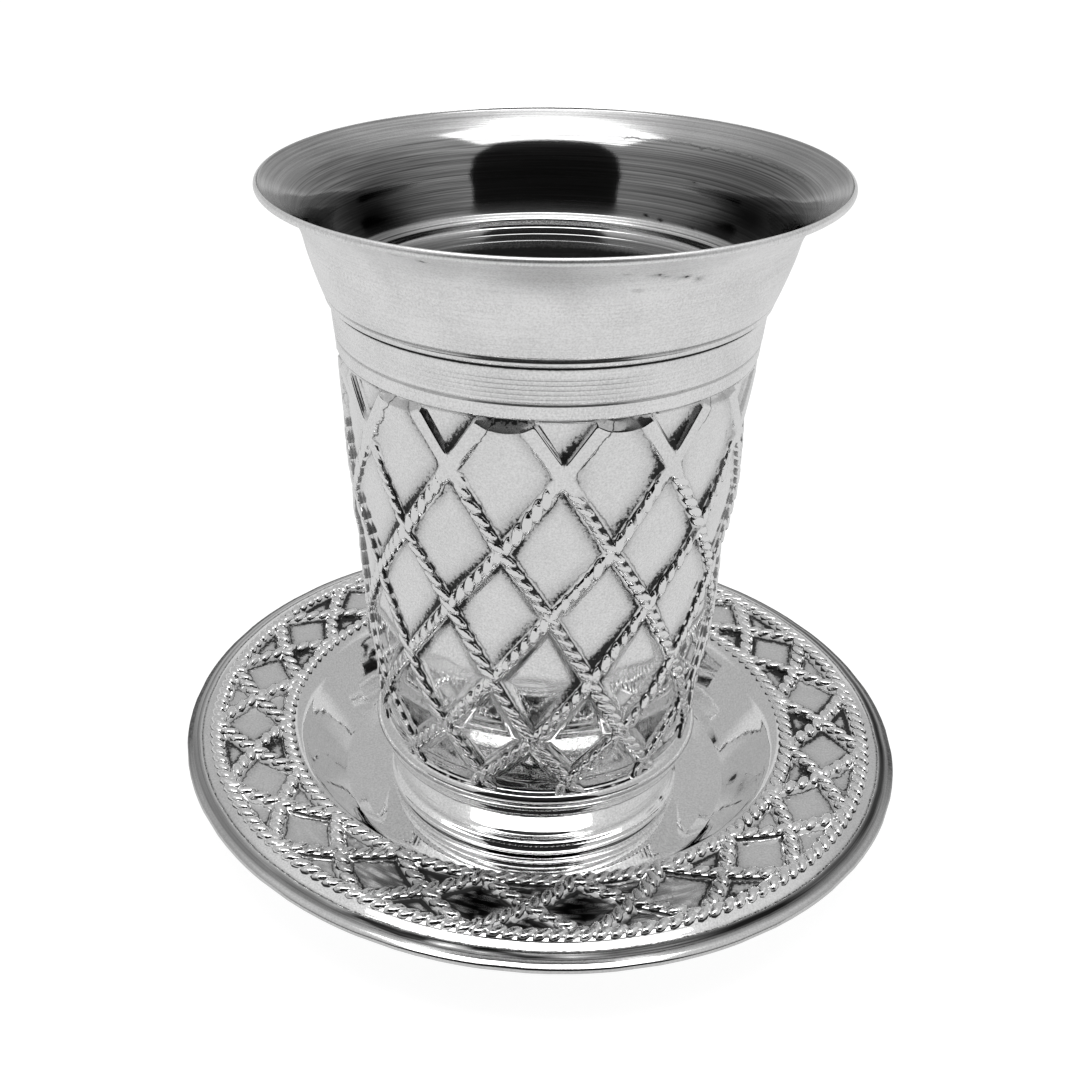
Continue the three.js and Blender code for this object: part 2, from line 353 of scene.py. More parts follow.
def smooth_curve(points, steps=24):
    """A Catmull-Rom curve through points, as a function of their first coordinate."""
    known = np.array(points, float)
    padded = np.vstack([2 * known[0] - known[1], known, 2 * known[-1] - known[-2]])
    samples = []
    for index in range(1, len(padded) - 2):
        before, start, end, after = padded[index - 1:index + 3]
        for t in np.linspace(0, 1, steps, endpoint=False):
            samples.append(0.5 * (
                2 * start + (end - before) * t + (2 * before - 5 * start + 4 * end - after) * t ** 2
                + (3 * start - before - 3 * end + after) * t ** 3
            ))
    samples = np.array(samples + [known[-1]])
    return lambda value: np.interp(value, samples[:, 0], samples[:, 1])


body_radius = smooth_curve(BODY_CURVE)
mouth_radius = smooth_curve(MOUTH_CURVE)
inner_mouth_radius = smooth_curve(INNER_MOUTH_CURVE)


def blend(value, low, high):
    """0 below low, 1 above high, and smooth between."""
    t = np.clip((value - low) / (high - low), 0, 1)
    return t * t * (3 - 2 * t)


def between(value, start, full, fading, end):
    """0 before start and after end, 1 from full to fading, and smooth where it changes."""
    return blend(value, start, full) * (1 - blend(value, fading, end))


def band(distance, half_top, half_foot):
    """1 to 0 across a strand with a flat top and rounded sides."""
    return 1 - blend(distance, half_top, half_foot)


def fade(distance, start, width):
    """1 up to a distance, then a soft fall to 0 over about the width."""
    return np.exp(-(np.clip(distance - start, 0, None) / width) ** 2)


def beside(distance, start, width):
    """A fade on the positive side only."""
    return np.where(distance > 0, fade(distance, start, width), 0)


def soft_line(value, middle, width):
    """1 in the middle, with a soft fall to 0 on both sides."""
    return np.exp(-((value - middle) / width) ** 2)


def wrapped(angle, pitch):
    """An angle brought to within half a pitch of zero."""
    return (angle + pitch / 2) % pitch - pitch / 2


def around(azimuth, middle, width):
    """A soft upright line at an azimuth."""
    return soft_line(wrapped(azimuth - middle, 360), 0, width)


def blots(azimuth, height, marks):
    """Soft round marks on a turned wall, each as (azimuth, height, width, height of it)."""
    return sum(
        around(azimuth, turned, wide) * soft_line(height, level, tall) for turned, level, wide, tall in marks
    )


def drift(azimuth, height, seed):
    """A slow wandering between 0 and 1 over a turned surface."""
    a, h = np.radians(azimuth), np.asarray(height) / 9.0
    waves = np.sin(3 * a + 1.7 * h + seed) + np.sin(7 * a - 2.3 * h + 2 * seed)
    waves = waves + np.sin(13 * a + 3.1 * h + 3 * seed)
    return np.clip(0.5 + waves / 4, 0, 1)


# ----- Meshes -----

def on_axis(azimuth, radius, height):
    """Points round the axis, from arrays of azimuth, radius and height."""
    angle = np.radians(azimuth)
    return np.stack([radius * np.sin(angle), -radius * np.cos(angle), height + 0 * angle], -1)


def rings(profile, columns):
    """A grid of points from a profile of (radius, height) pairs, all turned round the axis."""
    azimuth = np.linspace(0, 360, columns, endpoint=False)
    radius, height = np.array(profile, float).T[:, :, None]
    return on_axis(azimuth[None, :], radius, height)


def arc(centre, radius, start, end, steps):
    """Points of an arc in a profile, from angles in degrees."""
    turns = np.radians(np.linspace(start, end, steps))
    return [(centre[0] + radius * math.cos(t), centre[1] + radius * math.sin(t)) for t in turns]


def straight(start, end, steps):
    """Points from start up to end, without the last one."""
    return [tuple(point) for point in np.linspace(start, end, steps, endpoint=False)]


def shell(name, grid, closed_profile=True, attributes=None):
    """A closed mesh from a grid of points, with one row for each step along the profile. The grid
    closes round the axis, and along the profile too, or onto the axis at both ends. Attributes
    cover the first rows, and the rest get 0."""
    rows, columns = grid.shape[:2]
    points = grid.reshape(-1, 3)
    strips = np.arange(rows if closed_profile else rows - 1)
    row, column = np.meshgrid(strips, np.arange(columns), indexing="ij")
    below = (row + 1) % rows
    next_column = (column + 1) % columns
    corners = [(row, column), (below, column), (below, next_column), (row, next_column)]
    faces = np.stack([along * columns + across for along, across in corners], -1).reshape(-1, 4).tolist()
    if not closed_profile:
        ends = [(0, grid[0].mean(0)), ((rows - 1) * columns, grid[-1].mean(0))]
        for side, (first, centre) in enumerate(ends):
            hub = len(points)
            points = np.vstack([points, centre])
            fan = [(hub, first + i, first + (i + 1) % columns) for i in range(columns)]
            faces += fan if side == 0 else [face[::-1] for face in fan]
    mesh = bpy.data.meshes.new(name)
    mesh.from_pydata((points * MM).tolist(), [], faces)
    mesh.validate()
    for key, values in (attributes or {}).items():
        covered = np.broadcast_to(values, (len(values), columns)).reshape(-1)
        filled = np.zeros(len(points))
        filled[:len(covered)] = covered
        mesh.attributes.new(key, "FLOAT", "POINT").data.foreach_set("value", filled)
    mesh.shade_smooth()
    return place(name, mesh)


def place(name, mesh):
    made = bpy.data.objects.new(name, mesh)
    bpy.context.scene.collection.objects.link(made)
    return made


def settle(piece, material=None, replaced=()):
    """Rides a finished piece on the part, its finish and the solids it stands for."""
    if material is not None:
        piece.data.materials.append(material)
    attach(piece, "root")
    if replaced:
        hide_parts(*replaced)
    return piece


# ----- Lattices -----

def rows_down(height):
    """How many rows of crossings lie between the top row and a height, as a smooth count."""
    rows = np.array(CROSSING_HEIGHTS, float)
    first, last = rows[0] - rows[1], rows[-2] - rows[-1]
    knots = np.concatenate([[rows[0] + 2 * first], rows, [rows[-1] - 2 * last]])
    counts = np.concatenate([[-2], np.arange(len(rows)), [len(rows) + 1]])
    return np.interp(-height, -knots, counts)


def twist(height):
    """Azimuth of the nearest column of crossings to the front, at a height."""
    fall = np.clip(CROSSING_HEIGHTS[0] - height, 0, None)
    return TWIST_AT_TOP - TWIST_FALL * (fall / (CROSSING_HEIGHTS[0] - CROSSING_HEIGHTS[-1])) ** TWIST_POWER


def triangle_wave(count):
    """0 at even counts and 1 at odd ones."""
    return np.abs((count + 1) % 2 - 1)


def lattice_columns(spread, half_pitch, edges, steps):
    """Azimuths across one pitch for each row, drawn together along the edges of its two strands.
    spread is where the strand stands in the half pitch, edges how far from it its top, its foot and
    its skirt end, and steps the number of columns from each of these to the next. The last column
    of the mirrored half is left out, because the next pitch starts close to it."""
    nothing = 0 * spread
    top, foot, skirt = edges
    stops = np.stack([
        nothing,
        np.maximum(spread - skirt, top * 0.12),
        np.maximum(spread - foot, top * 0.3),
        np.clip(spread - top, top * 0.5, half_pitch - top),
        np.clip(spread + top, top, half_pitch - top * 0.5),
        np.minimum(spread + foot, half_pitch - top * 0.3),
        np.minimum(spread + skirt, half_pitch - top * 0.12),
        nothing + half_pitch,
    ], -1)
    parts = []
    for index, count in enumerate(steps):
        share = np.arange(count) / count
        start, end = stops[:, index, None], stops[:, index + 1, None]
        parts.append(start + (end - start) * share)
    half = np.concatenate(parts, 1)
    mirrored = 2 * half_pitch - half[:, :1:-1]
    return np.concatenate([half, stops[:, -1:], mirrored], 1)


def repeated(columns, times):
    """Azimuths of one pitch carried on round the axis."""
    pitch = 360 / times
    return np.concatenate([columns + pitch * turn for turn in range(times)], 1)


class Strands:
    """Distances in millimetres to the nearest falling strand, which runs down to the right, and to
    the nearest rising one. They are positive to the right of the strand."""

    def __init__(self, azimuth, spread, count, pitch, across):
        """across is the length of a degree, measured square to a strand."""
        moving_right = np.floor(count) % 2 == 0
        first = wrapped(azimuth - spread, pitch) * across
        second = wrapped(azimuth + spread, pitch) * across
        self.falling = np.where(moving_right, first, second)
        self.rising = np.where(moving_right, second, first)
        self.near, self.far = np.sort(np.abs([self.falling, self.rising]), axis=0)


# ----- Ropes -----

def rope_tree(name):
    """Geometry nodes that lay slanted lobes along each edge path of the input mesh.

    The paths carry an "out" vector, away from the surface, and a "size" that scales the lobes. Each
    lobe keeps a "tip" value, from -1 underneath to 1 on top, for its patina."""
    tree = bpy.data.node_groups.new(name, "GeometryNodeTree")
    kinds = {"Geometry": "Geometry", "Material": "Material"}
    kinds.update(dict.fromkeys(["Spacing", "Length", "Width", "Height", "Lay"], "Float"))
    for key, kind in kinds.items():
        tree.interface.new_socket(key, in_out="INPUT", socket_type="NodeSocket" + kind)
    tree.interface.new_socket("Geometry", in_out="OUTPUT", socket_type="NodeSocketGeometry")
    nodes = Nodes(tree)
    node = nodes.node
    given = {socket.name: Socket(nodes, socket) for socket in tree.nodes.new("NodeGroupInput").outputs}
    curve = node("GeometryNodeMeshToCurve", {}, given["Geometry"])
    points = node("GeometryNodeCurveToPoints", {"mode": "LENGTH"}, curve, Length=given["Spacing"])
    tangent = Socket(nodes, points.output.node.outputs["Tangent"])
    out = node("GeometryNodeInputNamedAttribute", {"data_type": "FLOAT_VECTOR"}, "out")
    size = node("GeometryNodeInputNamedAttribute", {"data_type": "FLOAT"}, "size")
    by_angle = {"rotation_type": "AXIS_ANGLE"}
    slanted = node("ShaderNodeVectorRotate", by_angle, Vector=tangent, Axis=out, Angle=given["Lay"])
    axes = {"primary_axis": "Z", "secondary_axis": "X"}
    turn = node("FunctionNodeAxesToRotation", axes, out, slanted)
    # A lobe is a small ball, swollen towards its middle so that its top stays broad
    sphere = node("GeometryNodeMeshUVSphere", {}, Segments=10, Rings=7, Radius=0.5)
    x, y, z = nodes.axes(node("GeometryNodeInputPosition", {}))
    level = z * 2.0
    swollen = nodes.vector(x, y, z * (level * level * -0.5 + 1.5))
    ball = node("GeometryNodeSetPosition", {}, sphere, Position=swollen)
    kept = {"data_type": "FLOAT", "domain": "POINT"}
    tipped = node("GeometryNodeStoreNamedAttribute", kept, ball, Name="tip", Value=level)
    lobe_size = nodes.vector(given["Length"], given["Width"], given["Height"])
    lobe = node("GeometryNodeTransform", {}, tipped, Scale=lobe_size)
    laid = node("GeometryNodeInstanceOnPoints", {}, points, Instance=lobe, Rotation=turn, Scale=size)
    smooth = node("GeometryNodeSetShadeSmooth", {}, node("GeometryNodeRealizeInstances", {}, laid))
    dressed = node("GeometryNodeSetMaterial", {}, smooth, Material=given["Material"])
    nodes.feed(tree.nodes.new("NodeGroupOutput").inputs[0], dressed)
    return tree


def rope_paths(name, paths):
    """A mesh of edge paths. Each path is (points in millimetres, out vectors, sizes, closed)."""
    edges = []
    start = 0
    for line, _, _, closed in paths:
        end = start + len(line)
        edges += [(i, i + 1) for i in range(start, end - 1)]
        if closed:
            edges.append((end - 1, start))
        start = end
    points, outs, sizes = (np.concatenate([path[part] for path in paths]) for part in range(3))
    mesh = bpy.data.meshes.new(name)
    mesh.from_pydata((points * MM).tolist(), edges, [])
    mesh.attributes.new("out", "FLOAT_VECTOR", "POINT").data.foreach_set("vector", outs.ravel())
    mesh.attributes.new("size", "FLOAT", "POINT").data.foreach_set("value", sizes)
    return place(name, mesh)


def lay_rope(name, paths, material, lay, **sizes):
    """Lobes along paths, made plain mesh. The lay is an angle, and the sizes are the other inputs of
    the tree, in millimetres."""
    piece = rope_paths(name, paths)
    modifier = piece.modifiers.new("Rope", "NODES")
    modifier.node_group = rope_tree(name + "_lobes")
    values = {"Material": material, "Lay": lay}
    values.update({key: size * MM for key, size in sizes.items()})
    for item in modifier.node_group.interface.items_tree:
        if item.name in values:
            modifier[item.identifier] = values[item.name]
    graph = bpy.context.evaluated_depsgraph_get()
    made = bpy.data.meshes.new_from_object(piece.evaluated_get(graph), depsgraph=graph)
    piece.modifiers.clear()
    piece.data = made
    return piece


# ----- Cup body -----

def body_rows():
    """Heights of the body's rows, closer together where the coves are."""
    fine = np.arange(BODY_TOP, BODY_TOP - COVE_HEIGHT - 0.2, -0.17)
    return np.concatenate([fine, np.linspace(fine[-1] - 0.3, BODY_BOTTOM, 122)])


def coves(turned, height, pitch):
    """0 to 1 in the shallow coves over the large top panels, deepest under the plain band."""
    beside_middle = wrapped(turned - pitch / 2, pitch) / COVE_HALF_WIDTH
    reach = COVE_HEIGHT * np.clip(1 - beside_middle ** 2, 0, 1) ** 0.6
    down = np.clip((BODY_TOP - height) / np.maximum(reach, 1e-6), 0, 1)
    return 0.5 + 0.5 * np.cos(math.pi * down)


def body_relief(sizes, strands, turned, height, count):
    """How far the wall stands over the panels. The ribbons run out flush into the plain band, and
    only the small panels above the top crossings stay sunk."""
    pitch = 360 / sizes.crossings
    width = sizes.rope_width / 2
    ribboned = blend(height, ROPE_TOP - 2.0, ROPE_TOP + 0.5)
    ribbon = band(strands.near, width * 0.65, width * 1.3)
    core = band(strands.near, width * 0.35, width * 0.95) * CORE_SHARE
    strand = ribbon * ribboned + core * (1 - ribboned)
    from_crossing = np.hypot(strands.near, strands.far) - width * ribboned * 0.9
    crossing = band(from_crossing, width * 0.6, width * 1.6) * CROSSING_SHARE
    fillet = fade(strands.near, width * 0.9, 0.45) * sizes.fillet
    relief = np.maximum(np.maximum(strand, crossing) * sizes.rise, fillet)
    relief = FOOT_RELIEF + (relief - FOOT_RELIEF) * blend(height, BODY_BOTTOM, 14.2)
    outside_arms = blend(np.abs(wrapped(turned, pitch)) + pitch / 2 * count, 0.0, 1.0)
    flush = blend(height, 61.0, 66.8) * outside_arms
    flush = np.maximum(flush, blend(height, LATTICE_TOP, LATTICE_TOP + 0.4))
    return relief + (sizes.rise - relief) * flush


def body_marks(azimuth, height, strands, width):
    """Attributes of the body: patina and painted shade along the panels' edges and in their corners,
    patina and painted crevice shade in notches on the ropes' upper sides, and the place and strength of
    the thin lines beside the strands."""
    near, far = strands.near, strands.far
    strong, weak = drift(azimuth, height, 1.0), drift(azimuth, height, 4.0)
    roped = 1 - blend(height, ROPE_TOP - 4.0, ROPE_TOP)
    lower = blend(height, 20.0, 32.0)
    aside = np.abs(wrapped(azimuth, 360))
    calm = 1 - 0.6 * blend(aside, 42, 70)
    # Patina and painted shade: the panels darker beside the strands, most at their lower right edges, and in
    # their corners
    dirt_and_shade = np.max([
        beside(-strands.rising, width, 1.25) * (0.35 + 0.6 * strong),
        beside(strands.rising, width, 0.8) * (0.1 + 0.8 * weak) * roped,
        beside(-strands.falling, width, 1.0) * (0.2 + 0.5 * weak),
        beside(strands.falling, width, 0.35) * 0.35 * roped,
    ], axis=0)
    corner = fade(near, width, 1.3) * fade(far, width, 2.4) * (0.2 + 0.8 * strong)
    dirt_and_shade = (dirt_and_shade + corner * 0.6) * (0.2 + 0.8 * lower) * calm * blend(near, width * 0.8, width * 1.05)
    is_falling = np.abs(strands.falling) < np.abs(strands.rising)
    upper_side = np.where(is_falling, strands.falling, -strands.rising)
    notched = np.where(is_falling, 0.6 + 0.6 * weak, blend(strong, 0.35, 0.6))
    notched = notched * roped * (0.4 + 0.6 * lower) * (1 - 0.8 * blend(aside, 38, 62))
    notch = blend(upper_side, -0.1 * width, width * 0.25) * (1 - blend(near, width * 0.72, width * 0.95))
    crack = beside(strands.rising, width, 0.8) * (1 - roped)
    outline = np.clip(0.2 + 0.45 * weak * roped + crack, 0, 1)
    return {
        "patina_and_shade": np.clip(np.maximum(dirt_and_shade, notch * notched), 0, 1),
        "edge": near - width * OUTLINE_PLACE,
        "outline": outline * blend(far, width * 0.8, width * 1.5) * calm,
    }


def cup_body(sizes, material):
    """The tapering wall with its lattice: rope cores below, flat ribbons above, and the coves."""
    pitch = 360 / sizes.crossings
    width = sizes.rope_width / 2
    height = body_rows()
    count = rows_down(height)
    spread = triangle_wave(count) * pitch / 2
    panel = body_radius(height) - sizes.rise
    per_degree = panel * DEGREE
    edges = [share / per_degree for share in (width * 0.65, width * 1.3, width + 1.9)]
    turned = repeated(lattice_columns(spread, pitch / 2, edges, (2, 4, 3, 3, 3, 4, 2)), sizes.crossings)
    across = per_degree * math.cos(math.atan(pitch / 2 * per_degree.mean() / ROW_GAP))
    height, count, spread, panel, across = np.array([height, count, spread, panel, across])[:, :, None]
    azimuth = turned + twist(height)
    strands = Strands(turned, spread, count, pitch, across)
    relief = body_relief(sizes, strands, turned, height, count)
    cove = coves(turned, height, pitch)
    outer = on_axis(azimuth, panel + relief - (relief + COVE_DEPTH) * cove, height)
    inner_height = np.linspace(BODY_BOTTOM, BODY_TOP, 9)[:, None]
    inner_radius = body_radius(inner_height) - sizes.rise - sizes.sheet
    inner = on_axis(azimuth[-1:], inner_radius, inner_height)
    attributes = body_marks(azimuth, height, strands, width)
    # Painted shade in the coves under the plain band, darkest at the front
    shade = np.sqrt(cove) * (0.1 + 0.9 * blots(azimuth, height, [COVE_SHADE]))
    attributes["patina_and_shade"] = np.maximum(attributes["patina_and_shade"], shade)
    piece = shell("cup_body", np.vstack([outer, inner]), attributes=attributes)
    return settle(piece, material, ["cup"])


def cup_ropes(sizes, material):
    """The body's ropes: lobes along each strand, a little smaller here and there where they are worn."""
    half_pitch = 180 / sizes.crossings
    height = np.linspace(ROPE_TOP, BODY_BOTTOM + 0.6, 120)
    radius = body_radius(height) - sizes.rise * 0.5
    tapering = 0.8 + 0.2 * blend(ROPE_TOP - height, -0.5, 3.0)
    paths = []
    for side in (1, -1):
        for strand in range(sizes.crossings):
            azimuth = twist(height) + strand * 2 * half_pitch + side * half_pitch * rows_down(height)
            line = on_axis(azimuth, radius, height)
            out = on_axis(azimuth, np.ones_like(height), 0 * height)
            size = tapering * (0.8 + 0.3 * drift(azimuth * 2, height * 2, 7.0 + side))
            paths.append((line, out, size, False))
    piece = lay_rope(
        "cup_ropes", paths, material, sizes.lay, Spacing=sizes.lobe_spacing,
        Length=sizes.rope_width * 1.65, Width=sizes.rope_width * 0.68, Height=sizes.rise * 1.05,
    )
    return settle(piece)


# ----- Cup mouth and foot -----

def grooved(height):
    """0 to 1 where the plain band carries its turned grooves."""
    return between(height, 70.2, 70.6, 73.2, 73.7)


def groove_wave(height):
    """-1 in the bottom of a turned groove, 1 on the ridges beside it."""
    return np.cos(2 * math.pi * (height - BODY_TOP) / GROOVE_PITCH)


def mouth_outside():
    """Profile from the body up: the plain band, the seam and its small roll, the flare and the lip."""
    height = np.linspace(BODY_TOP + 0.2, SEAM_HEIGHT - 0.3, 60)
    radius = np.interp(height, [BODY_TOP, SEAM_HEIGHT], [BODY_CURVE[-1][1], SEAM_BAND_RADIUS])
    radius = radius + GROOVE_DEPTH * groove_wave(height) * grooved(height)
    radius = radius - 0.18 * soft_line(height, BAND_LINE, 0.14)
    plain_band = [(26.65, BODY_TOP - 0.1)] + list(zip(radius, height))
    seam = [
        (SEAM_BAND_RADIUS - 0.22, SEAM_HEIGHT - 0.16),
        (SEAM_BAND_RADIUS - 0.1, SEAM_HEIGHT - 0.04),
        (SEAM_BAND_RADIUS + 0.2, SEAM_HEIGHT),
    ]
    roll = arc((SEAM_BAND_RADIUS + 0.1, SEAM_HEIGHT + 0.56), 0.55, -62, 60, 14)
    height = np.linspace(SEAM_HEIGHT + 1.25, RIM_HEIGHT - 0.45, 60)
    flare = list(zip(mouth_radius(height), height))
    lip = arc((CUP_HIGH.x - LIP_RADIUS, CUP_HIGH.z - LIP_RADIUS), LIP_RADIUS, -60, 75, 10)
    return plain_band + seam + roll + flare + lip


def mouth_inside():
    """Profile from the lip down: the flare, the ledge, three small steps and the back of the band."""
    height = np.linspace(RIM_HEIGHT + 0.35, LEDGE_TOP, 64)
    flare = list(zip(inner_mouth_radius(height), height))
    ledge = straight((27.5, LEDGE_TOP - 0.05), (26.75, LEDGE_TOP - 0.45), 4)
    ledge += arc((LEDGE_RADIUS + 0.1, LEDGE_TOP - 0.95), 0.5, 75, 180, 7)
    steps = []
    for step in range(3):
        radius = LEDGE_RADIUS - 0.42 - step * 0.24
        top = LEDGE_TOP - 1.7 - step * 0.9
        steps += [(radius, top), (radius - 0.06, top - 0.06), (radius - 0.2, top - 0.13)]
    back = straight((25.6, 71.5), (25.2, BODY_TOP), 10) + [(25.2, BODY_TOP)]
    return flare + ledge + steps + back


def mouth_patina_and_shade(azimuth, height, is_inside):
    """Inside, small pits, a ring on the ledge and painted shade deep below it. Outside, small marks under
    the lip, a painted shadow at the seam under the flare, the line of the plain band, and its grooves
    with painted shade at the front."""
    ring = 0.42 * soft_line(height, LEDGE_TOP + 0.5, 0.8)
    # Painted shade deep inside, below the ledge
    deep_shade = 1 - blend(height, LEDGE_TOP - 5.0, LEDGE_TOP - 2.0)
    inside = np.clip(blots(azimuth, height, INNER_BLOTS) + ring + deep_shade, 0, 1)
    # Painted shadow at the seam, under the flare's overhang
    seam = 1.8 * soft_line(height, SEAM_HEIGHT - 0.16, 0.22)
    line = 0.55 * soft_line(height, BAND_LINE, 0.16)
    grooves = (0.5 - 0.5 * groove_wave(height)) * grooved(height)
    # The grooves are darker at the front as painted reflection
    grooves = grooves * (0.02 + 0.2 * blots(azimuth, height, [BAND_SHADE]))
    outside = blots(azimuth, height, OUTER_BLOTS) + seam + line + grooves
    return np.where(is_inside, inside, outside)


def cup_mouth(sizes, material):
    """The plain turned band, the flared mouth with its lip, and its inside with a ledge, dull and darkened
    with painted shade.
    """
    outside, inside = mouth_outside(), mouth_inside()
    grid = rings(outside + inside, sizes.round_steps)[::-1]
    is_inside = (np.arange(len(grid)) < len(inside))[:, None]
    height = grid[:, :, 2]
    azimuth = np.degrees(np.arctan2(grid[:, :, 0], -grid[:, :, 1]))
    # Painted shade inside the mouth: less at the lip and between the seam and the ledge, with two black
    # patches of painted reflection
    dull_and_shade = INSIDE_DULL_SHADE + (LIP_DULL_SHADE - INSIDE_DULL_SHADE) * blend(height, 86.4, 88.0)
    dull_and_shade = dull_and_shade - 0.65 * between(height, 74.2, 74.8, LEDGE_TOP, LEDGE_TOP + 0.6)
    dull_and_shade = dull_and_shade + 1.1 * blots(azimuth, height, INNER_SHADES)
    start, end, start_height, end_height = SCRATCH
    attributes = {
        "patina_and_shade": mouth_patina_and_shade(azimuth, height, is_inside),
        "inside": dull_and_shade * is_inside,
        "edge": height - np.interp(azimuth, [start, end], [start_height, end_height]),
        "outline": 0.6 * is_inside * between(azimuth, start - 3, start + 3, end - 3, end),
    }
    piece = shell("cup_mouth", grid, attributes=attributes)
    return settle(piece, material)


def cup_foot(sizes, material):
    """The foot ring with its bead and flange, hollow below, and the floor of the bowl above it."""
    bottom = CUP_LOW.z
    low = bottom - 0.15
    inner_radius = 20.1 - sizes.sheet
    bowl_floor = [(0.4, 12.35), (17.5, 12.35), (19.6, 12.7), (20.4, 13.4), (20.55, 14.2)]
    shoulder = [(21.0, 13.6), (21.3, 12.75)]
    bead = arc((21.65, 11.3), 1.15, 80, -62, 14)
    groove = [(21.95, 9.95), (21.5, 9.65), (21.3, 9.4), (21.35, 9.15), (21.6, 9.0)]
    tapering = straight((21.75, 8.85), (20.05, 3.9), 8)
    waist = arc((20.75, 3.2), 0.8, 130, 225, 7)
    flange = [(20.4, 2.35)] + arc((20.4, 1.6), 0.5, 70, -75, 8)
    base = [(20.3, low), (inner_radius, low), (inner_radius, bottom + 0.3)]
    hollow = [(19.5, 6.0), (20.3, 10.6), (19.6, 11.3), (12.0, 11.5), (0.4, 11.5)]
    outside = shoulder + bead + groove + tapering + waist + flange
    grid = rings(bowl_floor + outside + base + hollow, sizes.round_steps)
    piece = shell("cup_foot", grid, closed_profile=False)
    return settle(piece, material)


# ----- Saucer -----

def brim_height(radius):
    """Height of the brim between its ropes."""
    return np.interp(
        radius, [INNER_ROPE[0], OUTER_ROPE[0]], [INNER_ROPE[1] - BRIM_DROP, OUTER_ROPE[1] - BRIM_DROP],
    )


def saucer_profile(sheet):
    """The upper side from the middle to the rolled edge, and the underside back to the middle."""
    floor = [(0.5, sheet), (8.0, sheet), (16.0, sheet), (21.5, sheet)]
    well_curve = smooth_curve([(21.5, sheet), (26.3, 0.9), (27.5, 1.75), (30.3, 4.9), (33.2, 8.4)])
    radius = np.linspace(22.0, 33.2, 26)
    well = list(zip(radius, well_curve(radius))) + [(33.6, 8.98), (34.0, 9.28), (34.5, 9.5)]
    radius = np.linspace(BRIM_START, BRIM_END, 62)
    brim = list(zip(radius, brim_height(radius)))
    step = straight((46.75, 10.85), (47.75, 10.47), 5) + [(47.8, 10.4), (47.9, 10.38), (47.97, 10.46)]
    lip = arc((48.16, 9.97), 0.55, 105, 62, 5) + straight((48.6, 10.42), (49.6, 9.8), 8)
    roll = arc((49.58, 9.38), 0.5, 50, -80, 11)
    under = [(47.8, 9.5), (40.7, 9.0), (35.7, 8.7), (34.1, 8.2), (32.1, 5.5), (29.7, 2.95), (26.2, 1.0)]
    base = [(22.6, 0.0), (21.5, 0.0), (10.0, 0.0), (0.5, 0.0)]
    return floor + well + brim + step + lip + roll, under + base


def brim_patina_and_shade(azimuth, radius, near, closest, width, inner_panel):
    """Patina and painted shade beside the brim's ropes, and patina filling its small inner panels here and
    there.
    """
    some = drift(azimuth, 0, 2.0)
    valley = fade(closest, width, 0.8) * blend(closest, width * 0.8, width)
    apex = blend(radius, 36.8, 38.2) * fade(near, width, 1.6)
    filled = 0.95 * inner_panel * apex * blend(some, 0.1, 0.3)
    return np.maximum(valley * (0.4 + 0.75 * some), filled)


def painted_front_reflection(azimuth, radius):
    """Painted reflection: broken black over the front of the brim, from 0 to 1.5."""
    broken = 1.5 * blend(drift(azimuth * 9, radius * 14, 5.0), 0.33, 0.5)
    return around(azimuth, -3.0, 23.0) * broken


def lip_painted_shade(azimuth, radius):
    """Painted shade on the saucer's lip, as patina and as dullness: two thin dark crease lines, a dark edge
    from both sides round the back, the lip duller and darker beyond the crease but less on its roll at
    the front, and a groove painted black in streaks at the front and more evenly on the right."""
    sides = blend(np.abs(wrapped(azimuth, 360)), 58, 82)
    lip_line = soft_line(radius, LIP_LINE, 0.13) * around(azimuth, 5.0, 75.0)
    lines = 0.9 * (soft_line(radius, BRIM_CREASE, 0.12) + lip_line)
    patina_and_shade = np.maximum(lines, 0.75 * blend(radius, 48.95, 49.35) * sides)
    bright_roll = 0.6 * blend(radius, 49.1, 49.4) * (1 - sides)
    dull_and_shade = 0.8 * blend(radius, BRIM_CREASE + 0.2, BRIM_CREASE + 0.6) * (1 - bright_roll)
    right = 1.2 * between(azimuth, 2, 14, 110, 150) * (0.6 + 0.6 * drift(azimuth, 0, 2.0))
    streaks = 2.3 * around(azimuth, -8.0, 22.0) * drift(azimuth * 3, radius * 16, 3.0)
    groove = between(radius, 48.0, 48.15, 48.75, 48.95)
    return patina_and_shade, dull_and_shade + groove * np.maximum(right, streaks)


